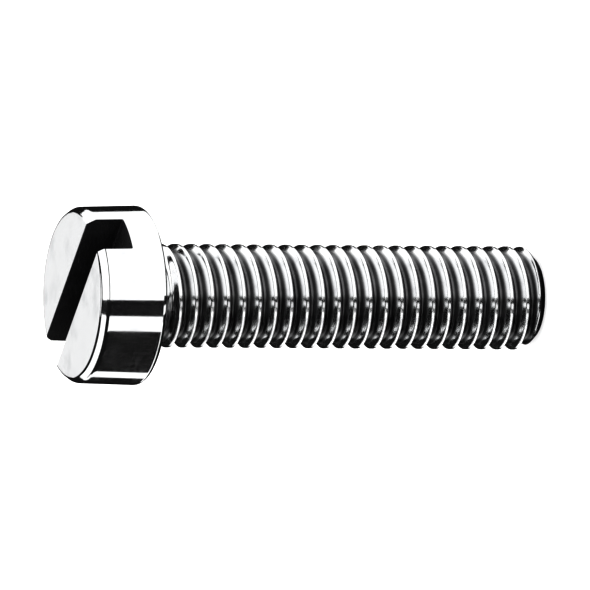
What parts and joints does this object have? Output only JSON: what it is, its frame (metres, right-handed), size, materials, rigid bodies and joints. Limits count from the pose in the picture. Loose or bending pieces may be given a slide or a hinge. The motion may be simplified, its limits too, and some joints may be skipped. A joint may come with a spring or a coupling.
{
  "type": "cheese head screw",
  "caption": "Slotted cheese head machine screw with a full-length right-hand metric thread, a tall cylindrical head and a chamfered flat tip.",
  "frame": {"origin": "middle of the flat tip, on which the screw stands", "axes": "+Z along the screw's axis, from the tip up to the slotted head; the slot runs along X"},
  "size_m": [0.0085, 0.0084, 0.0233],
  "materials": {
    "steel": "bright turned steel, plain"
  },
  "bodies": {
    "root": {"screw": "steel"}
  },
  "joints": []
}
